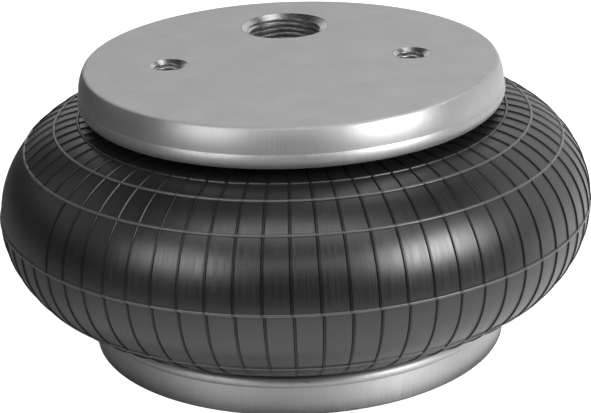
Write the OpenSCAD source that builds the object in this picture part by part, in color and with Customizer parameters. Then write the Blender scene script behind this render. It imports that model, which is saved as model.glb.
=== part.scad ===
// Air bellows actuator: one rubber convolution held between two crimped steel bead plates.
// Millimetres, +Z up. The origin is the centre of the lower plate's outer face, X runs through
// the fixing holes and the air inlet lies on the +Y side. The bellows mirror in their middle plane.

/* [Overall] */
// Height between the outer faces of the plates, standing without pressure
rest_height = 96; // [84:1:120]
// Diameter of the rubber at its girth, standing without pressure
girth_d = 196.8; // [176:0.2:214]

/* [Bead plate] */
// Diameter over the rolled lip
lip_d = 141; // [126:0.5:156]
// Thickness of the pressed sheet
sheet = 2.5; // [2:0.1:3]
// Radius of the upper plate's rolled lip
lip_r = 3.4; // [2.8:0.1:3.8]
// Radius of the lower plate's lip, which is rolled tighter and leaves a taller wall
lower_lip_r = 1.8; // [1.5:0.1:2.6]
// How far the lip stands out from the widest part of the rim wall
lip_out = 0.5; // [0.3:0.1:0.8]
// Radius of the rounding between face and rim wall
face_edge_r = 1.3; // [0.8:0.1:2]
// Radius of the upper plate's barrelled rim wall, seen in section
barrel_r = 13; // [11:0.5:18]
// Radius of the lower plate's rim wall, which is nearly straight
lower_barrel_r = 30; // [20:0.5:40]
// Depth of the widest part of the rim wall under the face
barrel_z = 7; // [6:0.1:7.5]

/* [Convolution] */
// Radius of the turn from the neck into the convolution
neck_turn_r = 3; // [2.5:0.1:5]
// Gap between the rim and the crown of the convolution
crown_gap = 3; // [2:0.1:6]
// Thickness of the outer cover
cover_t = 1.8; // [1.4:0.1:2.4]
// Thickness of one cord ply
ply_t = 1; // [0.7:0.1:1.3]
// Thickness of the inner liner
liner_t = 1.4; // [1:0.1:2]
// Radius of the ring ridges moulded on the cover
ridge_r = 0.6; // [0.4:0.1:1]

/* [Bead] */
// Diameter of the wire core in each bead
core_d = 3; // [2.4:0.1:4.2]
// Thickness of the heel between the core and the rim's return
heel_t = 1.3; // [0.5:0.1:1.8]
// Thickness of the heel between the turned layers and the rim wall
heel_side_t = 1.2; // [1:0.1:2.5]

/* [Fixing holes] */
// Distance from the widest part of the rim wall to the middle of a fixing hole
hole_inset = 30; // [27:0.1:36]
// Core diameter of the M10 thread
nut_bore_d = 8.376; // [6.647:0.001:10.106]
// Depth of the fixing thread from the face
nut_bore_depth = 13; // [10:0.5:16]
// Wall of the nut's spigot in the plate
nut_spigot_wall = 2.1; // [1.5:0.1:3]
// Wall of the nut's body under the plate
nut_body_wall = 3.8; // [3.2:0.1:4.6]
// Width of the nut's flange outside its bore
nut_flange_w = 5.8; // [5:0.1:7]
// Thickness of the nut's flange
nut_flange_t = 2.5; // [1.5:0.1:4]
// Thickness of the closed end of a nut
nut_end_t = 2.5; // [1.5:0.1:4]

/* [Air inlet] */
// Gap between the bead and the socket's flange
inlet_gap = 0.4; // [0.3:0.1:6]
// Core diameter of the G 3/4 thread
inlet_bore_d = 24.117; // [18.631:0.001:26]
// Wall of the socket's spigot in the plate
inlet_spigot_wall = 2.9; // [1.5:0.1:3.4]
// Wall of the socket's body under the plate
inlet_body_wall = 4.4; // [3.6:0.1:5]
// Width of the socket's flange outside its bore
inlet_flange_w = 5.5; // [5.2:0.1:7]
// Thickness of the socket's flange
inlet_flange_t = 3; // [2:0.1:5]
// Length of the socket from the plate's outer face
inlet_l = 17; // [14:0.5:20]

/* [Fits] */
// Land left between a countersink and the edge of its spigot
countersink_land = 0.1; // [0.1:0.1:0.5]
// Full angle of the countersinks
countersink_angle = 120; // [90:1:120]
// Radial gap of a spigot in its plate hole
spigot_gap = 0.05; // [0.02:0.01:0.1]
// Gap between bonded rubber layers
bond_gap = 0.05; // [0.02:0.01:0.1]
// Gap between the rubber and the steel that clamps it
clamp_gap = 0.2; // [0.1:0.05:0.3]

/* [Hidden] */
$fn = 96;

steel = "#a9a9a9";
rubber = "#2b2b2d";
mid_z = rest_height / 2;
overcut = 1;

// Depth of each layer's outer surface under the surface of the cover
outer_ply_depth = cover_t + bond_gap;
inner_ply_depth = outer_ply_depth + ply_t + bond_gap;
liner_depth = inner_ply_depth + ply_t + bond_gap;
wall_depth = liner_depth + liner_t;

// Rim wall and the cavity inside it
wall_r = lip_d / 2 - lip_out;
barrel_c = [wall_r - barrel_r, barrel_z];
cavity_r = barrel_r - sheet;
heel_r = cavity_r - clamp_gap;

// Bead: the layers turn round the core, and the liner's turn seals against the plate
core_r = core_d / 2;
ply_turn_r = core_r + bond_gap;
turn_r = ply_turn_r + wall_depth - outer_ply_depth;
core_pos_r = barrel_c[0] + heel_r - heel_side_t - bond_gap - turn_r;
core_z = sheet + clamp_gap + turn_r;
heel_z = core_z + ply_turn_r + heel_t;

// Rim height follows the bead that the rim closes over
rim_h = heel_z + clamp_gap + sheet;
neck_r = core_pos_r - ply_turn_r + outer_ply_depth;
return_r = neck_r + clamp_gap;

// Convolution: half an ellipse that bulges out from a circle through its crowns
crown_r = neck_r + neck_turn_r;
crown_z = rim_h + crown_gap;
bulge_out = girth_d / 2 - crown_r;
bulge_up = mid_z - crown_z;
arc_step = 5;

// Ring ridges lie at these angles from the girth, seen from the middle of the bulge
ridge_angles = [-78, -63, -41, 0, 41, 63, 78];

// Places of the fixing holes and the air inlet
hole_x = wall_r - hole_inset;
inlet_y = core_pos_r - turn_r - inlet_gap - inlet_bore_d / 2 - inlet_flange_w;

// Diameters that follow the threads
nut_spigot_d = nut_bore_d + 2 * nut_spigot_wall;
inlet_spigot_d = inlet_bore_d + 2 * inlet_spigot_wall;

// Points of an arc about c
function arc(c, r, from, to, steps) =
    [for (i = [0:steps]) let (a = from + (to - from) * i / steps) c + r * [cos(a), sin(a)]];

// Angle at which a circle of radius r about the barrel's middle passes a depth z under the face
function barrel_angle(r, z) = asin((z - barrel_z) / r);

// Point of the convolution at ellipse angle t, at a depth under the cover's surface, upper side for t > 0
function bulge_point(t, depth) =
    let (normal = [bulge_up * cos(t), bulge_out * sin(t)])
    [crown_r + bulge_out * cos(t), mid_z + bulge_up * sin(t)] - depth * normal / norm(normal);

// Ellipse angle at which the bulge is seen at angle a from its middle
function bulge_angle(a) = atan2(bulge_out * sin(a), bulge_up * cos(a));

// Lower bead end of a layer surface: round the core, down the neck and out to the crown
function lower_end(depth) = concat(
    arc([core_pos_r, core_z], turn_r - wall_depth + depth, 360, 180, 12),
    arc([crown_r, crown_z - neck_turn_r], neck_turn_r + depth, 180, 90, 6)
);

// Same end of the cover's surfaces, which stop at the heel of the bead
function lower_cover_end(depth) = concat(
    [[neck_r - depth, heel_z]],
    arc([crown_r, crown_z - neck_turn_r], neck_turn_r + depth, 180, 90, 6)
);

function reversed(points) = [for (i = [len(points) - 1:-1:0]) points[i]];
function mirrored(points) = reversed([for (p = points) [p[0], rest_height - p[1]]]);

// Outline of the lower heel, from the neck round the core and the turned layers to the rim's return
bead_heel = concat(
    [[neck_r - cover_t, core_z + ply_turn_r * sin(45)]],
    arc([core_pos_r, core_z], ply_turn_r, 135, 15, 8),
    [[core_pos_r + ply_turn_r, core_z + bond_gap], [core_pos_r + turn_r + bond_gap, core_z + bond_gap]],
    arc([core_pos_r, core_z], turn_r + bond_gap, 0, -45, 3),
    [[core_pos_r + (turn_r + bond_gap) * cos(45), sheet + clamp_gap]],
    arc(barrel_c, heel_r, barrel_angle(heel_r, sheet + clamp_gap), barrel_angle(heel_r, heel_z), 6)
);

// Whole meridian of a layer surface from the lower end to the upper end
function meridian(end, depth) = concat(
    end,
    [for (t = [-90 + arc_step:arc_step:90 - arc_step]) bulge_point(t, depth)],
    mirrored(end)
);

module layer(depth, thickness) {
    outer = meridian(lower_end(depth), depth);
    inner = meridian(lower_end(depth + thickness), depth + thickness);
    rotate_extrude() polygon(concat(outer, reversed(inner)));
}

// Puts a lower piece on the upper plate
module on_top() {
    translate([0, 0, rest_height]) mirror([0, 0, 1]) children();
}

// Part of a disc that reaches out to a radius at the barrel's middle, between two depths under the face
module barrel_slice(reach, r, from_z, to_z) {
    middle = reach - r;
    intersection() {
        translate([middle, barrel_z]) circle(r);
        translate([middle, from_z]) square([r + overcut, to_z - from_z]);
    }
}

// Section of a bead plate: sheet disc, rounded edge, barrelled wall, rolled lip and return
module plate_section(outer_r, roll_r) {
    edge_reach = outer_r - face_edge_r;
    edge_turn = asin((face_edge_r - barrel_z) / edge_reach);
    face_r = wall_r - outer_r + edge_reach * cos(edge_turn);
    wall_z = face_edge_r * (1 + sin(edge_turn));
    lip_c = [lip_d / 2 - roll_r, rim_h - roll_r];
    difference() {
        union() {
            square([face_r, lip_c[1]]);
            translate([face_r, face_edge_r]) circle(face_edge_r);
            barrel_slice(wall_r, outer_r, wall_z, lip_c[1]);
            translate(lip_c) circle(roll_r);
            translate([0, sheet]) square([lip_c[0], rim_h - sheet]);
        }
        translate([0, sheet]) square([return_r, rim_h]);
        barrel_slice(wall_r - sheet, cavity_r, sheet, rim_h - sheet);
    }
}

module plate_blank(outer_r, roll_r) {
    rotate_extrude() plate_section(outer_r, roll_r);
}

module at_holes() {
    for (side = [-1, 1]) translate([side * hole_x, 0, 0]) children();
}

module plate_hole(spigot_d) {
    translate([0, 0, -overcut]) cylinder(d = spigot_d + 2 * spigot_gap, h = sheet + 2 * overcut);
}

// Entry cone from the spigot's edge down to the thread
module countersink(spigot_d, bore_d) {
    mouth_r = spigot_d / 2 - countersink_land;
    slope = tan(countersink_angle / 2);
    depth = (mouth_r - bore_d / 2) / slope;
    translate([0, 0, -overcut])
        cylinder(r1 = mouth_r + overcut * slope, r2 = bore_d / 2, h = depth + overcut);
}

// Flush spigot in the plate, flange against the plate's inside and a round body
module flanged_body(bore_d, spigot_d, flange_w, flange_t, body_wall, length) {
    cylinder(d = spigot_d, h = sheet + flange_t);
    translate([0, 0, sheet]) cylinder(d = bore_d + 2 * flange_w, h = flange_t);
    translate([0, 0, sheet]) cylinder(d = bore_d + 2 * body_wall, h = length - sheet);
}

module blind_nut(side) {
    length = nut_bore_depth + nut_end_t;
    translate([side * hole_x, 0, 0]) difference() {
        flanged_body(nut_bore_d, nut_spigot_d, nut_flange_w, nut_flange_t, nut_body_wall, length);
        translate([0, 0, -overcut]) cylinder(d = nut_bore_d, h = nut_bore_depth + overcut);
        countersink(nut_spigot_d, nut_bore_d);
    }
}

module bead_core() {
    rotate_extrude() translate([core_pos_r, core_z]) circle(core_r);
}

module lower_bead_plate() {
    color(steel) difference() {
        plate_blank(lower_barrel_r, lower_lip_r);
        at_holes() plate_hole(nut_spigot_d);
    }
}

module lower_blind_nut_left() { color(steel) blind_nut(-1); }
module lower_blind_nut_right() { color(steel) blind_nut(1); }
module lower_bead_core() { color(steel) bead_core(); }

module upper_bead_plate() {
    color(steel) on_top() difference() {
        plate_blank(barrel_r, lip_r);
        at_holes() plate_hole(nut_spigot_d);
        translate([0, inlet_y, 0]) plate_hole(inlet_spigot_d);
    }
}

module upper_blind_nut_left() { color(steel) on_top() blind_nut(-1); }
module upper_blind_nut_right() { color(steel) on_top() blind_nut(1); }
module upper_bead_core() { color(steel) on_top() bead_core(); }

module air_inlet_socket() {
    color(steel) on_top() translate([0, inlet_y, 0]) difference() {
        flanged_body(inlet_bore_d, inlet_spigot_d, inlet_flange_w, inlet_flange_t, inlet_body_wall, inlet_l);
        translate([0, 0, -overcut]) cylinder(d = inlet_bore_d, h = inlet_l + 2 * overcut);
        countersink(inlet_spigot_d, inlet_bore_d);
    }
}

// Section of the cover: one outline through both heels and both surfaces, with the ring ridges on it
module cover_section() {
    outer = meridian(lower_cover_end(0), 0);
    inner = meridian(lower_cover_end(cover_t), cover_t);
    polygon(concat(bead_heel, outer, mirrored(bead_heel), reversed(inner)));
    for (a = ridge_angles) translate(bulge_point(bulge_angle(a), 0)) circle(ridge_r);
}

module outer_cover() {
    color(rubber) rotate_extrude() cover_section();
}

module outer_cord_ply() { color("#8a7a55") layer(outer_ply_depth, ply_t); }
module inner_cord_ply() { color("#9b8b66") layer(inner_ply_depth, ply_t); }
module inner_liner() { color("#3a3a3d") layer(liner_depth, liner_t); }

lower_bead_plate();
lower_blind_nut_left();
lower_blind_nut_right();
lower_bead_core();
upper_bead_plate();
upper_blind_nut_left();
upper_blind_nut_right();
upper_bead_core();
air_inlet_socket();
outer_cover();
outer_cord_ply();
inner_cord_ply();
inner_liner();
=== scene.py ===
"""Looks of an air bellows actuator: a ribbed rubber convolution between two crimped steel plates.

Metres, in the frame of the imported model: +Z up, the origin in the middle of the lower plate's face,
X through the fixing holes, the air inlet on the +Y side. Azimuths are degrees from -Y towards +X.
"""

import math

import bmesh
import bpy
from mathutils import Matrix, Vector


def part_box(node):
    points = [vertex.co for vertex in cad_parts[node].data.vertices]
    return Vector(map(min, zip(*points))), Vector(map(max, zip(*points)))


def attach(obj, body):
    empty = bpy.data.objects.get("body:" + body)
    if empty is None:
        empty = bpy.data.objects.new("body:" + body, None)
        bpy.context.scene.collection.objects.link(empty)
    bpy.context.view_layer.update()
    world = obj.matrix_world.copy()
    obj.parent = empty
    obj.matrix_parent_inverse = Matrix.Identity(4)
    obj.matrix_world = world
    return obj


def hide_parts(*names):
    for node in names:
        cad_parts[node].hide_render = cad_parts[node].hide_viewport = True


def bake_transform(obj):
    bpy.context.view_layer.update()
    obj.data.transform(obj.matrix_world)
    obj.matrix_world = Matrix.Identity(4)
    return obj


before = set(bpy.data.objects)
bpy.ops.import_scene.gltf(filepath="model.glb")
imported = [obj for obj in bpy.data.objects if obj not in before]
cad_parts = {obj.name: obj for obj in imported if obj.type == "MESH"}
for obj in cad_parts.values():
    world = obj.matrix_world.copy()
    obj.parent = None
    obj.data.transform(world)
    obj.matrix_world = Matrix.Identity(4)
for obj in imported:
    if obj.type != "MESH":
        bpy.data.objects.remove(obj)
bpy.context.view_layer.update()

MM = 0.001
IMAGE_W = 591
IMAGE_H = 413
weld_gap = 0.002 * MM

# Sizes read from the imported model
rest_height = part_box("upper_bead_plate")[1].z
rim_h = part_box("lower_bead_plate")[1].z
mid_z = rest_height / 2

# Bead plate and bead, as in the part's source
sheet = 2.5 * MM
clamp_gap = 0.2 * MM
bond_gap = 0.05 * MM
barrel_c = (57.0 * MM, 7.0 * MM)
heel_r = 10.3 * MM
heel_z = rim_h - sheet - clamp_gap
core_pos_r = 61.0 * MM
core_z = 7.75 * MM
ply_turn_r = 1.55 * MM
turn_r = 5.05 * MM

# Convolution: half an ellipse that bulges out from a circle through its crowns
neck_r = 61.3 * MM
neck_turn_r = 3.0 * MM
crown_gap = 3.0 * MM
solid_ridge_r = 0.6 * MM
crown_r = neck_r + neck_turn_r
crown_z = rim_h + crown_gap
girth_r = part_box("outer_cover")[1].x - solid_ridge_r
bulge_out = girth_r - crown_r
bulge_up = mid_z - crown_z

# Depth of each layer's outer surface under the surface of the cover, and its thickness
cover_t = 1.8 * MM
ply_t = 1.0 * MM
liner_t = 1.4 * MM
outer_ply_depth = cover_t + bond_gap
inner_ply_depth = outer_ply_depth + ply_t + bond_gap
liner_depth = inner_ply_depth + ply_t + bond_gap
wall_depth = liner_depth + liner_t

# Moulded relief of the cover, whose lower half is turned a little where the mould parts
rib_count = 70
rib_phase = 1.6
rib_height = 0.4 * MM
rib_top_w = 0.35 * MM
rib_base_w = 0.85 * MM
ridge_height = 0.5 * MM
ridge_half_w = 0.55 * MM
foot_w = 0.15 * MM
parting_turn = 0.35
ridge_angles = (-78, -63, -41, 0, 41, 63, 78)
# Ring ridges nearer the middle than this angle get a painted highlight of light grey on their crests; the
# ridges by the plates lie in the plates' shade and get none
highlit_ridges_to = 70
panel_from = -132
panel_to = -60
panel_top = 41

# Threaded inserts in the plates, as in the part's source
countersink_angle = 120
countersink_land = 0.1 * MM
insert_bevel = 0.12 * MM
fixing_x = 40 * MM
inlet_y = (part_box("air_inlet_socket")[0].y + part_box("air_inlet_socket")[1].y) / 2

# Edges sharper than these angles, in degrees, stay hard
cover_edge_angle = 35
layer_edge_angle = 60
insert_edge_angle = 29


def rise(point):
    """The same point seen in the middle plane of the bellows."""
    r, z = point
    return (r, rest_height - z)


def arc(centre, radius, start, end, steps):
    """Points of an arc in a meridian plane, angles in degrees."""
    points = []
    for i in range(steps + 1):
        a = math.radians(start + (end - start) * i / steps)
        points.append((centre[0] + radius * math.cos(a), centre[1] + radius * math.sin(a)))
    return points


def bulge_normal(t):
    """Outward normal of the bulge at ellipse angle t, in radians."""
    r = bulge_up * math.cos(t)
    z = bulge_out * math.sin(t)
    length = math.hypot(r, z)
    return (r / length, z / length)


def bulge_point(t, depth):
    """Point of the bulge at ellipse angle t, at a depth under the cover's surface."""
    normal = bulge_normal(t)
    r = crown_r + bulge_out * math.cos(t) - depth * normal[0]
    z = mid_z + bulge_up * math.sin(t) - depth * normal[1]
    return (r, z)


def bulge_angle(seen):
    """Ellipse angle, in radians, at which the bulge is seen at an angle from its middle."""
    a = math.radians(seen)
    return math.atan2(bulge_out * math.sin(a), bulge_up * math.cos(a))


def bulge_speed(t):
    """Length along the bulge for a radian of its ellipse angle."""
    return math.hypot(bulge_out * math.sin(t), bulge_up * math.cos(t))


def new_piece(name, vertices, faces, material, smooth_angle, **shares):
    """A mesh object with outward faces and sharp edges above an angle in degrees.

    Shares are named lists of a number from 0 to 1 for each vertex, for the material to read.
    """
    mesh = bpy.data.meshes.new(name)
    mesh.from_pydata(vertices, [], faces)
    for share_name, values in shares.items():
        mesh.attributes.new(share_name, "FLOAT", "POINT").data.foreach_set("value", values)
    work = bmesh.new()
    work.from_mesh(mesh)
    bmesh.ops.remove_doubles(work, verts=work.verts, dist=weld_gap)
    bmesh.ops.recalc_face_normals(work, faces=work.faces)
    work.to_mesh(mesh)
    work.free()
    mesh.polygons.foreach_set("use_smooth", [True] * len(mesh.polygons))
    mesh.set_sharp_from_angle(angle=math.radians(smooth_angle))
    mesh.materials.append(material)
    piece = bpy.data.objects.new(name, mesh)
    bpy.context.scene.collection.objects.link(piece)
    return piece


def ring_faces(rows, columns):
    """Quads of closed rings joined row to row."""
    faces = []
    for j in range(rows - 1):
        low = j * columns
        high = low + columns
        for i in range(columns):
            k = (i + 1) % columns
            faces.append((low + i, low + k, high + k, high + i))
    return faces


def on_circle(r, azimuth, z):
    """Point at a radius and an azimuth in radians."""
    return (r * math.sin(azimuth), -r * math.cos(azimuth), z)


def revolved(name, section, columns, material, smooth_angle):
    """Closed section turned once round the axis."""
    loop = section + section[:1]
    vertices = []
    for r, z in loop:
        for i in range(columns):
            vertices.append(on_circle(r, 2 * math.pi * i / columns, z))
    return new_piece(name, vertices, ring_faces(len(loop), columns), material, smooth_angle)


# Materials


def new_material(name, **values):
    """Principled material with constant values set on its own sockets."""
    material = bpy.data.materials.new(name)
    material.use_nodes = True
    shader = material.node_tree.nodes["Principled BSDF"]
    for key, value in values.items():
        shader.inputs[key.replace("_", " ")].default_value = value
    return material, material.node_tree, shader


def noise(tree, scale, detail, vector=None):
    """Fractal noise in the object's own frame, or on a given vector."""
    node = tree.nodes.new("ShaderNodeTexNoise")
    node.inputs["Scale"].default_value = scale
    node.inputs["Detail"].default_value = detail
    if vector is None:
        place = tree.nodes.new("ShaderNodeTexCoord")
        vector = place.outputs["Object"]
    tree.links.new(vector, node.inputs["Vector"])
    return node.outputs["Fac"]


def ramp(tree, value, low, high, from_low=0.3, from_high=0.7):
    """Value mapped to a range of numbers."""
    node = tree.nodes.new("ShaderNodeMapRange")
    node.inputs["From Min"].default_value = from_low
    node.inputs["From Max"].default_value = from_high
    node.inputs["To Min"].default_value = low
    node.inputs["To Max"].default_value = high
    tree.links.new(value, node.inputs["Value"])
    return node.outputs["Result"]


def tint(tree, value, dark, light):
    """Value mapped to a colour between two colours."""
    node = tree.nodes.new("ShaderNodeValToRGB")
    node.color_ramp.elements[0].position = 0.3
    node.color_ramp.elements[1].position = 0.7
    node.color_ramp.elements[0].color = (*dark, 1)
    node.color_ramp.elements[1].color = (*light, 1)
    tree.links.new(value, node.inputs["Fac"])
    return node.outputs["Color"]


def bump(tree, height, strength, distance, base=None):
    """Normal bent by a height."""
    node = tree.nodes.new("ShaderNodeBump")
    node.inputs["Strength"].default_value = strength
    node.inputs["Distance"].default_value = distance
    tree.links.new(height, node.inputs["Height"])
    if base is not None:
        tree.links.new(base, node.inputs["Normal"])
    return node.outputs["Normal"]


def axis_vector(tree, around, along):
    """Vector that turns with the azimuth and climbs with the height, for streaks along a meridian."""
    place = tree.nodes.new("ShaderNodeTexCoord")
    flat = tree.nodes.new("ShaderNodeVectorMath")
    flat.operation = "MULTIPLY"
    flat.inputs[1].default_value = (1, 1, 0)
    tree.links.new(place.outputs["Object"], flat.inputs[0])
    unit = tree.nodes.new("ShaderNodeVectorMath")
    unit.operation = "NORMALIZE"
    tree.links.new(flat.outputs["Vector"], unit.inputs[0])
    turn = tree.nodes.new("ShaderNodeVectorMath")
    turn.operation = "SCALE"
    turn.inputs["Scale"].default_value = around
    tree.links.new(unit.outputs["Vector"], turn.inputs[0])
    climb = tree.nodes.new("ShaderNodeVectorMath")
    climb.operation = "MULTIPLY_ADD"
    climb.inputs[1].default_value = (0, 0, along)
    tree.links.new(place.outputs["Object"], climb.inputs[0])
    tree.links.new(turn.outputs["Vector"], climb.inputs[2])
    return climb.outputs["Vector"]


def wall_share(tree):
    """1 on upright surfaces, 0 on level ones."""
    place = tree.nodes.new("ShaderNodeNewGeometry")
    split = tree.nodes.new("ShaderNodeSeparateXYZ")
    tree.links.new(place.outputs["Normal"], split.inputs["Vector"])
    size = tree.nodes.new("ShaderNodeMath")
    size.operation = "ABSOLUTE"
    tree.links.new(split.outputs["Z"], size.inputs[0])
    return ramp(tree, size.outputs["Value"], low=1.0, high=0.0, from_low=0.6, from_high=0.9)


def blend_values(tree, share, first, second):
    """First value where the share is 0, second where it is 1."""
    node = tree.nodes.new("ShaderNodeMix")
    tree.links.new(share, node.inputs["Factor"])
    tree.links.new(first, node.inputs["A"])
    tree.links.new(second, node.inputs["B"])
    return node.outputs["Result"]


def plate_steel():
    """Satin zinc-plated sheet: soft clouds on the face, upright streaks on the rim, fine grain all over.

    A brushed grain round the axis draws out the highlights of the rim.
    """
    material, tree, shader = new_material("plate_steel", Metallic=1.0, Anisotropic_Rotation=0.25)
    clouds = noise(tree, scale=90, detail=4)
    streaks = noise(tree, scale=1, detail=4, vector=axis_vector(tree, around=130, along=90))
    grain = noise(tree, scale=2600, detail=2)
    wall = wall_share(tree)
    face_tint = tint(tree, clouds, dark=(0.45, 0.45, 0.455), light=(0.48, 0.48, 0.48))
    wall_tint = tint(tree, streaks, dark=(0.43, 0.43, 0.435), light=(0.485, 0.485, 0.485))
    colour = tree.nodes.new("ShaderNodeMix")
    colour.data_type = "RGBA"
    tree.links.new(wall, colour.inputs["Factor"])
    tree.links.new(face_tint, colour.inputs["A"])
    tree.links.new(wall_tint, colour.inputs["B"])
    tree.links.new(colour.outputs["Result"], shader.inputs["Base Color"])
    face_roughness = ramp(tree, grain, low=0.82, high=0.9)
    wall_roughness = ramp(tree, streaks, low=0.46, high=0.52)
    tree.links.new(blend_values(tree, wall, face_roughness, wall_roughness), shader.inputs["Roughness"])
    tree.links.new(bump(tree, grain, strength=0.12, distance=0.05 * MM), shader.inputs["Normal"])
    around = tree.nodes.new("ShaderNodeTangent")
    around.direction_type = "RADIAL"
    around.axis = "Z"
    tree.links.new(around.outputs["Tangent"], shader.inputs["Tangent"])
    brushed = ramp(tree, wall, low=0.0, high=0.65, from_low=0.0, from_high=1.0)
    tree.links.new(brushed, shader.inputs["Anisotropic"])
    return material


def thread_steel():
    """Turned and tapped steel, smoother than the sheet."""
    material, tree, shader = new_material("thread_steel", Metallic=1.0)
    grain = noise(tree, scale=900, detail=2)
    colour = tint(tree, grain, dark=(0.45, 0.45, 0.455), light=(0.5, 0.5, 0.5))
    tree.links.new(colour, shader.inputs["Base Color"])
    tree.links.new(ramp(tree, grain, low=0.26, high=0.32), shader.inputs["Roughness"])
    return material


def bead_wire():
    """Brass-coated wire."""
    material, tree, shader = new_material("bead_wire", Metallic=1.0, Roughness=0.4)
    grain = noise(tree, scale=1200, detail=2)
    colour = tint(tree, grain, dark=(0.42, 0.36, 0.24), light=(0.52, 0.46, 0.33))
    tree.links.new(colour, shader.inputs["Base Color"])
    return material


def cover_rubber():
    """Satin moulded rubber: fine grain, faint streaks from the mould, dull ribs, and a painted highlight
    of light grey on the crests of the ring ridges.
    """
    material, tree, shader = new_material("cover_rubber")
    streaks = noise(tree, scale=1, detail=3, vector=axis_vector(tree, around=160, along=40))
    grain = noise(tree, scale=1500, detail=3)
    clouds = noise(tree, scale=45, detail=4)
    # Share of the painted highlight on the ridge crests, which lightens the black there
    ridge_light = tree.nodes.new("ShaderNodeAttribute")
    ridge_light.attribute_name = "ridge_highlight"
    colour = tree.nodes.new("ShaderNodeMix")
    colour.data_type = "RGBA"
    # Light grey of the painted highlight on the ridge crests
    colour.inputs["B"].default_value = (0.07, 0.07, 0.072, 1)
    tree.links.new(ridge_light.outputs["Fac"], colour.inputs["Factor"])
    black = tint(tree, clouds, dark=(0.005, 0.005, 0.0055), light=(0.009, 0.009, 0.0095))
    tree.links.new(black, colour.inputs["A"])
    tree.links.new(colour.outputs["Result"], shader.inputs["Base Color"])
    dull = tree.nodes.new("ShaderNodeAttribute")
    dull.attribute_name = "dull"
    shine = ramp(tree, dull.outputs["Fac"], low=0.72, high=0.06, from_low=0.0, from_high=1.0)
    tree.links.new(shine, shader.inputs["Specular IOR Level"])
    tree.links.new(ramp(tree, streaks, low=0.29, high=0.40), shader.inputs["Roughness"])
    fine = bump(tree, grain, strength=0.12, distance=0.08 * MM)
    relief = bump(tree, streaks, strength=0.12, distance=0.15 * MM, base=fine)
    tree.links.new(relief, shader.inputs["Normal"])
    return material


def liner_rubber():
    """Smooth calendered rubber."""
    material, tree, shader = new_material("liner_rubber", Specular_IOR_Level=0.35)
    clouds = noise(tree, scale=300, detail=3)
    colour = tint(tree, clouds, dark=(0.03, 0.03, 0.031), light=(0.042, 0.042, 0.043))
    tree.links.new(colour, shader.inputs["Base Color"])
    tree.links.new(ramp(tree, clouds, low=0.45, high=0.6), shader.inputs["Roughness"])
    return material


def cord_ply(name, lean):
    """Rubberised cord fabric: cords laid on the bias, one lean for each ply."""
    material, tree, shader = new_material(name, Roughness=0.75)
    place = tree.nodes.new("ShaderNodeTexCoord")
    turn = tree.nodes.new("ShaderNodeMapping")
    turn.inputs["Rotation"].default_value = (0, math.radians(lean), 0)
    tree.links.new(place.outputs["Object"], turn.inputs["Vector"])
    cords = tree.nodes.new("ShaderNodeTexWave")
    cords.inputs["Scale"].default_value = 280
    cords.inputs["Distortion"].default_value = 0.4
    tree.links.new(turn.outputs["Vector"], cords.inputs["Vector"])
    colour = tint(tree, cords.outputs["Fac"], dark=(0.16, 0.13, 0.08), light=(0.42, 0.35, 0.22))
    tree.links.new(colour, shader.inputs["Base Color"])
    relief = bump(tree, cords.outputs["Fac"], strength=0.5, distance=0.3 * MM)
    tree.links.new(relief, shader.inputs["Normal"])
    return material


steel = plate_steel()
tapped = thread_steel()
wire = bead_wire()
rubber = cover_rubber()


# Outer cover with its ribs and ring ridges


def cover_rows():
    """Rows of the cover's surface from the lower heel to the upper heel.

    Each row has its place, its normal, its ridge height, its share of the rib height and its angle.
    The feet of a ridge get an angle just below and just above it, so that each lies in its own half.
    """
    beside = 0.5
    turn_centre = (crown_r, crown_z - neck_turn_r)
    lower = [((neck_r, heel_z), (1.0, 0.0), 0.0, 0.0, -90.0)]
    turn_steps = 6
    for i in range(turn_steps):
        a = math.radians(180 - 90 * i / turn_steps)
        place = (turn_centre[0] + neck_turn_r * math.cos(a), turn_centre[1] + neck_turn_r * math.sin(a))
        normal = (-math.cos(a), -math.sin(a))
        lower.append((place, normal, 0.0, i / turn_steps, -90.0))

    foot = ridge_half_w + foot_w
    ridge_steps = 3
    params = []
    for seen in ridge_angles:
        middle = bulge_angle(seen)
        params.append((middle - foot / bulge_speed(middle), 0.0, seen - beside))
        params.append((middle + foot / bulge_speed(middle), 0.0, seen + beside))
        for i in range(-ridge_steps, ridge_steps + 1):
            a = math.radians(90 * i / ridge_steps)
            offset = ridge_half_w * math.sin(a)
            params.append((middle + offset / bulge_speed(middle), ridge_height * math.cos(a), seen))
    plain_steps = 48
    clear_of_ridge = 1.5 * foot
    for i in range(plain_steps + 1):
        t = math.radians(-90 + 180 * i / plain_steps)
        clear = [abs(t - bulge_angle(seen)) * bulge_speed(t) > clear_of_ridge for seen in ridge_angles]
        if all(clear):
            seen = math.degrees(math.atan2(bulge_up * math.sin(t), bulge_out * math.cos(t)))
            params.append((t, 0.0, seen))
    rows = []
    for t, ridge, seen in sorted(params, key=lambda p: p[0]):
        rows.append((bulge_point(t, 0), bulge_normal(t), ridge, 1.0, seen))
    upper = []
    for place, normal, ridge, rib, angle in reversed(lower):
        upper.append((rise(place), (normal[0], -normal[1]), ridge, rib, -angle))
    return lower + rows + upper


def rib_columns(r):
    """Azimuth, share of the rib's height, dull share and the rib's azimuth of every column at a radius."""
    pitch = 2 * math.pi / rib_count
    half = (
        (rib_base_w / 2 + foot_w, 0.0, 0.0),
        (rib_base_w / 2, 0.0, 1.0),
        (rib_top_w / 2, 1.0, 0.6),
    )
    fill_steps = 4
    columns = []
    for k in range(rib_count):
        middle = math.radians(rib_phase) + k * pitch
        for offset, share, dulled in half:
            columns.append((middle - offset / r, share, dulled, middle))
        for offset, share, dulled in reversed(half):
            columns.append((middle + offset / r, share, dulled, middle))
        start = middle + half[0][0] / r
        end = middle + pitch - half[0][0] / r
        for i in range(1, fill_steps):
            columns.append((start + (end - start) * i / fill_steps, 0.0, 0.0, middle))
    return columns


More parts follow.
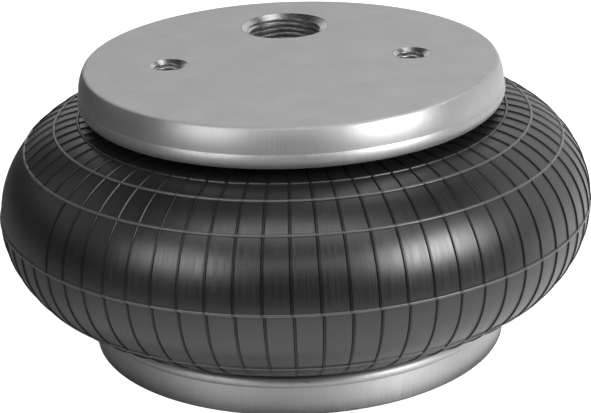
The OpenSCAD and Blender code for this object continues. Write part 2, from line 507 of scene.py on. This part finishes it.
def on_panel(azimuth, angle):
    """True on the plain panel at the side of the bellows."""
    turned = (math.degrees(azimuth) - panel_from) % 360
    return 0 < angle < panel_top and turned < panel_to - panel_from


def cover_vertices():
    """Rings of the cover, relief outside, both heels, smooth inside, with their shares of painted ridge
    highlight and of dull.
    """
    rings = []
    ridge_highlight = []
    dull = []
    for (r, z), normal, ridge, rib, angle in cover_rows():
        turn = math.radians(parting_turn) if angle < 0 else 0.0
        ring = []
        dull_ring = []
        for azimuth, share, dulled, middle in rib_columns(r):
            height = max(rib * share * rib_height, ridge)
            if on_panel(middle, angle):
                height = ridge
                dulled = 0.0
            dull_ring.append(dulled)
            ring.append(on_circle(r + height * normal[0], azimuth + turn, z + height * normal[1]))
        rings.append(ring)
        dull.append(dull_ring)
        # Painted highlight on the crests of the ring ridges, left off the ridges in the plates' shade
        ridge_highlight.append(ridge / ridge_height if abs(angle) < highlit_ridges_to else 0.0)

    wall_from = math.degrees(math.asin((sheet + clamp_gap - barrel_c[1]) / heel_r))
    wall_to = math.degrees(math.asin((heel_z - barrel_c[1]) / heel_r))
    heel = [
        *arc(barrel_c, heel_r, wall_to, wall_from, steps=6),
        (core_pos_r + (turn_r + bond_gap) * math.cos(math.radians(45)), sheet + clamp_gap),
        *arc((core_pos_r, core_z), turn_r + bond_gap, -45, 0, steps=3),
        (core_pos_r + turn_r + bond_gap, core_z + bond_gap),
        (core_pos_r + ply_turn_r, core_z + bond_gap),
        *arc((core_pos_r, core_z), ply_turn_r, 15, 135, steps=8),
    ]
    end = [(neck_r - cover_t, core_z + ply_turn_r * math.sin(math.radians(45)))]
    end += arc((crown_r, crown_z - neck_turn_r), neck_turn_r + cover_t, 180, 90, steps=6)
    inside_steps = 18
    inside = list(end)
    for i in range(1, inside_steps):
        inside.append(bulge_point(math.radians(-90 + 180 * i / inside_steps), cover_t))
    inside += [rise(p) for p in reversed(end)]
    back = [rise(p) for p in heel] + inside[::-1] + heel[::-1]
    for r, z in back:
        ring = [on_circle(r, column[0], z) for column in rib_columns(r)]
        rings.append(ring)
        dull.append([0.0] * len(ring))
        ridge_highlight.append(0.0)
    rings.append(rings[0])
    dull.append(dull[0])
    ridge_highlight.append(ridge_highlight[0])
    return rings, ridge_highlight, dull


def make_cover():
    """The cover as one closed mesh."""
    rings, ridge_highlight, dull = cover_vertices()
    columns = len(rings[0])
    vertices = [v for ring in rings for v in ring]
    faces = ring_faces(len(rings), columns)
    shares = {
        # Share of the painted highlight on the ridge crests
        "ridge_highlight": [share for share in ridge_highlight for _ in range(columns)],
        "dull": [share for ring in dull for share in ring],
    }
    return new_piece("bellows_cover", vertices, faces, rubber, cover_edge_angle, **shares)


def layer_section(depth, thickness):
    """Closed section of a layer that turns round both bead cores."""
    bulge_steps = 36
    inner_angles = [math.radians(-90 + 180 * i / bulge_steps) for i in range(1, bulge_steps)]
    sides = []
    for d in (depth, depth + thickness):
        end = arc((core_pos_r, core_z), turn_r - wall_depth + d, 360, 180, steps=12)
        end += arc((crown_r, crown_z - neck_turn_r), neck_turn_r + d, 180, 90, steps=6)
        bulge = [bulge_point(t, d) for t in inner_angles]
        sides.append(end + bulge + [rise(p) for p in reversed(end)])
    return sides[0] + sides[1][::-1]


def follow_plates(piece, node):
    """Bakes the piece's placing into its mesh and hides the node that it stands in for."""
    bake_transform(piece)
    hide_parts(node)


layer_columns = 96
cord_lean = 55
outer_cords = cord_ply("outer_cords", cord_lean)
inner_cords = cord_ply("inner_cords", -cord_lean)
follow_plates(make_cover(), "outer_cover")
layers = (
    ("bellows_outer_ply", "outer_cord_ply", "cord_ply", outer_ply_depth, ply_t, outer_cords),
    ("bellows_inner_ply", "inner_cord_ply", "cord_ply", inner_ply_depth, ply_t, inner_cords),
    ("bellows_liner", "inner_liner", "liner_rubber", liner_depth, liner_t, liner_rubber()),
)
for piece_name, node, slot, depth, thickness, material in layers:
    section = layer_section(depth, thickness)
    piece = revolved(piece_name, section, layer_columns, material, layer_edge_angle)
    follow_plates(piece, node)


# Plates and bead cores, which keep the meshes of their solids


def paint(node, material):
    """Gives a node's own mesh a material."""
    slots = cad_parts[node].data.materials
    slots.clear()
    slots.append(material)


for end in ("lower", "upper"):
    paint(f"{end}_bead_plate", steel)
    paint(f"{end}_bead_core", wire)


# Threaded inserts


class Thread:
    """Inside thread with straight flanks, and narrow flats on its crests and roots."""

    flat_share = 0.12

    def __init__(self, core_r, outer_r, pitch):
        self.core_r = core_r
        self.outer_r = outer_r
        self.pitch = pitch

    def radius(self, turns):
        """Radius at a number of turns down the thread."""
        climb = 1 - abs(2 * (turns % 1) - 1)
        share = (climb - self.flat_share) / (1 - 2 * self.flat_share)
        return self.core_r + (self.outer_r - self.core_r) * min(max(share, 0), 1)


def insert_grid(thread, mouth_r, depth, outline, columns):
    """Rows of the inside thread from the bore's end up to the face, then of the outline down again."""
    slope = math.tan(math.radians(countersink_angle / 2))
    turns = math.ceil(depth / thread.pitch) + 1
    steps = 24
    rows = []
    for j in range(turns * steps, -1, -1):
        place = j / steps
        row = []
        for i in range(columns + 1):
            down = (place - i / columns) * thread.pitch
            if down <= 0:
                point = (mouth_r, 0.0)
            elif down >= depth:
                point = (thread.core_r, depth)
            else:
                point = (max(thread.radius(place), mouth_r - down * slope), down)
            row.append(point)
        rows.append(row)
    rows += [[point] * (columns + 1) for point in outline]
    return rows


def tapped_insert(node, body, x, y, thread, spigot_r, flange_r, flange_t, body_r, depth, length):
    """Insert with a real thread in place of a node: spigot in the plate, flange and body inside."""
    through = depth == length
    columns = 64
    outline = [
        (spigot_r - insert_bevel, 0.0),
        (spigot_r, insert_bevel),
        (spigot_r, sheet),
        (flange_r, sheet),
        (flange_r, sheet + flange_t),
        (body_r, sheet + flange_t),
        (body_r, length),
        (thread.core_r if through else 0.0, length),
    ]
    rows = insert_grid(thread, spigot_r - countersink_land, depth, outline, columns)
    if not through:
        rows.insert(0, [(0.0, depth)] * (columns + 1))
    vertices = []
    for row in rows:
        for i, (r, down) in enumerate(row):
            u, v, _ = on_circle(r, 2 * math.pi * i / columns, 0)
            if body == "upper":
                vertices.append((x + u, y + v, rest_height - down))
            else:
                vertices.append((x + u, y - v, down))
    faces = []
    wide = columns + 1
    for j in range(len(rows) - 1):
        low = j * wide
        high = low + wide
        for i in range(columns):
            faces.append((low + i, low + i + 1, high + i + 1, high + i))
    piece = new_piece(node + "_tapped", vertices, faces, tapped, insert_edge_angle)
    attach(piece, body)
    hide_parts(node)


fixing_thread = Thread(core_r=4.188 * MM, outer_r=5.0 * MM, pitch=1.5 * MM)
inlet_thread = Thread(core_r=12.0585 * MM, outer_r=13.2205 * MM, pitch=1.814 * MM)
nut_sizes = {
    "spigot_r": 6.288 * MM,
    "flange_r": 9.988 * MM,
    "flange_t": 2.5 * MM,
    "body_r": 7.988 * MM,
    "depth": 13 * MM,
    "length": 15.5 * MM,
}
socket_sizes = {
    "spigot_r": 14.9585 * MM,
    "flange_r": 17.5585 * MM,
    "flange_t": 3 * MM,
    "body_r": 16.4585 * MM,
    "depth": 17 * MM,
    "length": 17 * MM,
}
for body in ("lower", "upper"):
    for side, sign in (("left", -1), ("right", 1)):
        tapped_insert(f"{body}_blind_nut_{side}", body, sign * fixing_x, 0.0, fixing_thread, **nut_sizes)
tapped_insert("air_inlet_socket", "upper", 0.0, inlet_y, inlet_thread, **socket_sizes)


# Floor, light and camera

floor_half = 2.0
floor_gap = 0.05 * MM
floor_grey = 0.45
floor_glow = 0.92
light_distance = 1.1
set_r = 1.3
wall_foot_z = -0.02
roof_z = 1.25
mat_z = 0.4 * MM


def background_share(tree):
    """1 for the rays that show the background: to the camera, in reflections and through glass."""
    path = tree.nodes.new("ShaderNodeLightPath")
    first = tree.nodes.new("ShaderNodeMath")
    first.operation = "MAXIMUM"
    tree.links.new(path.outputs["Is Camera Ray"], first.inputs[0])
    tree.links.new(path.outputs["Is Glossy Ray"], first.inputs[1])
    second = tree.nodes.new("ShaderNodeMath")
    second.operation = "MAXIMUM"
    tree.links.new(first.outputs["Value"], second.inputs[0])
    tree.links.new(path.outputs["Is Transmission Ray"], second.inputs[1])
    return second.outputs["Value"]


def make_world(ambient):
    """Sky that is white where it shows, and lights the part with an ambient strength."""
    world = bpy.data.worlds.new("studio")
    bpy.context.scene.world = world
    world.use_nodes = True
    tree = world.node_tree
    sky = tree.nodes["Background"]
    sky.inputs["Color"].default_value = (1, 1, 1, 1)
    strength = ramp(tree, background_share(tree), low=ambient, high=1.0, from_low=0.0, from_high=1.0)
    tree.links.new(strength, sky.inputs["Strength"])


def make_floor():
    """White floor that glows where it shows as background, so that only the shadow is seen on it."""
    mesh = bpy.data.meshes.new("floor")
    half = floor_half
    corners = [(-half, -half, 0), (half, -half, 0), (half, half, 0), (-half, half, 0)]
    mesh.from_pydata(corners, [], [(0, 1, 2, 3)])
    material, tree, shader = new_material("floor_white", Roughness=0.9, Specular_IOR_Level=0.1)
    shader.inputs["Base Color"].default_value = (floor_grey, floor_grey, floor_grey, 1)
    shader.inputs["Emission Color"].default_value = (1, 1, 1, 1)
    glow = ramp(tree, background_share(tree), low=0.0, high=floor_glow, from_low=0.0, from_high=1.0)
    tree.links.new(glow, shader.inputs["Emission Strength"])
    mesh.materials.append(material)
    floor = bpy.data.objects.new("floor", mesh)
    floor.location.z = -floor_gap
    bpy.context.scene.collection.objects.link(floor)


def between(stops, azimuth):
    """Share at an azimuth, from stops joined by straight lines."""
    for (start, first), (end, second) in zip(stops, stops[1:]):
        if start <= azimuth <= end:
            return first + (second - first) * (azimuth - start) / (end - start)
    return stops[-1][1]


def dark_card(name, inner, outer, grey, stops, reflected_only=False):
    """Cloth round the set between two circles, out of the camera's sight, as dense as its stops say."""
    steps = 180
    vertices = []
    cover = []
    for r, z in (inner, outer):
        for i in range(steps + 1):
            azimuth = -180 + 360 * i / steps
            vertices.append(on_circle(r, math.radians(azimuth), z))
            cover.append(between(stops, azimuth))
    wide = steps + 1
    mesh = bpy.data.meshes.new(name)
    mesh.from_pydata(vertices, [], [(i, i + 1, wide + i + 1, wide + i) for i in range(steps)])
    mesh.attributes.new("cover", "FLOAT", "POINT").data.foreach_set("value", cover)
    material, tree, shader = new_material(name, Roughness=1.0, Specular_IOR_Level=0.0)
    shader.inputs["Base Color"].default_value = (grey, grey, grey, 1)
    dense = tree.nodes.new("ShaderNodeAttribute")
    dense.attribute_name = "cover"
    tree.links.new(dense.outputs["Fac"], shader.inputs["Alpha"])
    mesh.materials.append(material)
    cloth = bpy.data.objects.new(name, mesh)
    cloth.visible_camera = False
    cloth.visible_diffuse = not reflected_only
    cloth.visible_shadow = not reflected_only
    bpy.context.scene.collection.objects.link(cloth)


def softbox(name, azimuth, elevation, width, height, power):
    """Area lamp that looks at the middle of the bellows."""
    lamp = bpy.data.lights.new(name, "AREA")
    lamp.shape = "RECTANGLE"
    lamp.size = width
    lamp.size_y = height
    lamp.energy = power
    around = math.radians(azimuth)
    up = math.radians(elevation)
    level = light_distance * math.cos(up)
    middle = Vector((0, 0, mid_z))
    place = middle + Vector(on_circle(level, around, light_distance * math.sin(up)))
    box = bpy.data.objects.new(name, lamp)
    box.location = place
    box.rotation_mode = "QUATERNION"
    box.rotation_quaternion = (middle - place).to_track_quat("-Z", "Y")
    bpy.context.scene.collection.objects.link(box)


def make_camera():
    """Camera fitted to the photograph: the object's middle lies at a known pixel."""
    distance = 0.72445
    elevation = math.radians(21.233)
    azimuth = math.radians(-2.28)
    roll = math.radians(2.13)
    lens = 130.97
    sensor = 36.0
    middle_px = (295.1, 194.8)
    camera = bpy.data.cameras.new("camera")
    camera.lens = lens
    camera.sensor_width = sensor
    camera.clip_start = 0.01
    middle = Vector((0, 0, mid_z))
    level = distance * math.cos(elevation)
    place = middle + Vector(on_circle(level, azimuth, distance * math.sin(elevation)))
    ahead = (middle - place).normalized()
    right = ahead.cross(Vector((0, 0, 1))).normalized()
    up = right.cross(ahead)
    rolled_right = math.cos(roll) * right - math.sin(roll) * up
    rolled_up = math.sin(roll) * right + math.cos(roll) * up
    pixel = distance * sensor / (lens * IMAGE_W)
    aim = middle + rolled_right * (IMAGE_W / 2 - middle_px[0]) * pixel
    aim = aim - rolled_up * (IMAGE_H / 2 - middle_px[1]) * pixel
    ahead = (aim - place).normalized()
    right = (rolled_right - ahead * rolled_right.dot(ahead)).normalized()
    up = right.cross(ahead)
    turn = Matrix((right, up, -ahead)).transposed()
    eye = bpy.data.objects.new("camera", camera)
    eye.matrix_world = Matrix.Translation(place) @ turn.to_4x4()
    bpy.context.scene.collection.objects.link(eye)
    bpy.context.scene.camera = eye


make_world(ambient=0.5)
make_floor()

# Density of the dark cloths round the set: azimuths in degrees, and the share at each
all_round = ((-180, 1), (180, 1))
front_wall = ((-180, 0), (-166, 0), (-150, 1), (80, 1), (100, 0), (180, 0))
front_left = ((-180, 0.3), (-160, 1), (-12, 1), (46, 0), (160, 0), (180, 0.3))
left_side = ((-180, 0.3), (-160, 1), (-78, 0.8), (-62, 0.5), (-15, 0), (160, 0), (180, 0.3))
front_half = ((-180, 0.3), (-160, 1), (68, 1), (88, 0), (160, 0), (180, 0.3))
dark_card("dark_wall", (set_r, wall_foot_z), (set_r, roof_z), grey=0.1, stops=front_wall)
dark_card("dark_roof", (0.0, roof_z), (set_r, roof_z), grey=0.04, stops=all_round)

# Mats on the floor that only reflections show: name, inner and outer radius, grey, density
mats = (
    # Dark ring under the lower plate's edge, seen only in reflections: a painted contact shadow of the
    # floor
    ("contact_shadow_mat", 0.0675, 0.074, 0.1, all_round),
    ("near_mat", 0.074, 0.10, 0.6, front_left),
    ("left_mat", 0.10, 0.22, 0.16, left_side),
    ("far_mat", 0.22, 0.42, 0.25, front_half),
    ("horizon_mat", 0.42, set_r, 0.12, front_half),
)
for mat_name, inner_r, outer_r, grey, stops in mats:
    dark_card(mat_name, (inner_r, mat_z), (outer_r, mat_z), grey, stops, reflected_only=True)

softbox("key_right", azimuth=51, elevation=26, width=0.62, height=0.38, power=11.8)
softbox("fill_left", azimuth=-48, elevation=28, width=0.58, height=0.36, power=4.0)
softbox("far_left", azimuth=-112, elevation=30, width=0.8, height=0.6, power=0.5)
softbox("front_strip", azimuth=0, elevation=33, width=0.8, height=0.12, power=1.0)
softbox("overhead", azimuth=-8, elevation=69, width=1.1, height=0.3, power=4.0)
softbox("back_right", azimuth=146, elevation=66, width=0.3, height=0.28, power=0.8)
make_camera()
bpy.context.scene.view_settings.view_transform = "Standard"
